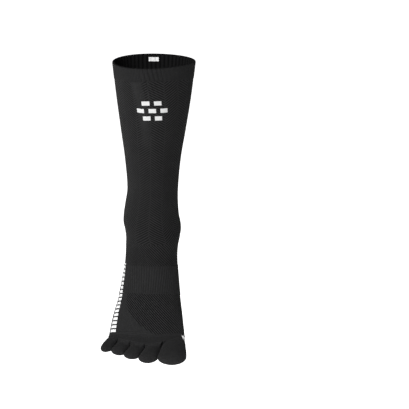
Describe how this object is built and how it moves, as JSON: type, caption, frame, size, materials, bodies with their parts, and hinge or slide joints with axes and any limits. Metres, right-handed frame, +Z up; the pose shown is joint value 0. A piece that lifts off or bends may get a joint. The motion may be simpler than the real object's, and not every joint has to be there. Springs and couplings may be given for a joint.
{
  "type": "toe sock",
  "caption": "Black knitted crew toe sock for the right foot, in its worn, pointed form, with a ribbed cuff, chevron leg, ribbed arch band and a pocket for each toe.",
  "frame": {"origin": "centre of the leg opening, level with the cuff's upper edge, where the leg goes in", "axes": "+Z up along the leg and out of the opening; the toes point towards -Y and down; the big toe lies towards +X"},
  "size_m": [0.1145, 0.2004, 0.3414],
  "materials": {
    "plain_knit": "matt black stretch knit",
    "ribbed_knit": "matt black ribbed knit"
  },
  "bodies": {
    "root": {"cuff": "ribbed_knit", "leg_tube": "plain_knit", "heel_pocket": "plain_knit", "arch_band": "ribbed_knit", "forefoot": "plain_knit", "little_toe": "plain_knit", "fourth_toe": "plain_knit", "third_toe": "plain_knit", "second_toe": "plain_knit", "big_toe": "plain_knit"}
  },
  "joints": []
}
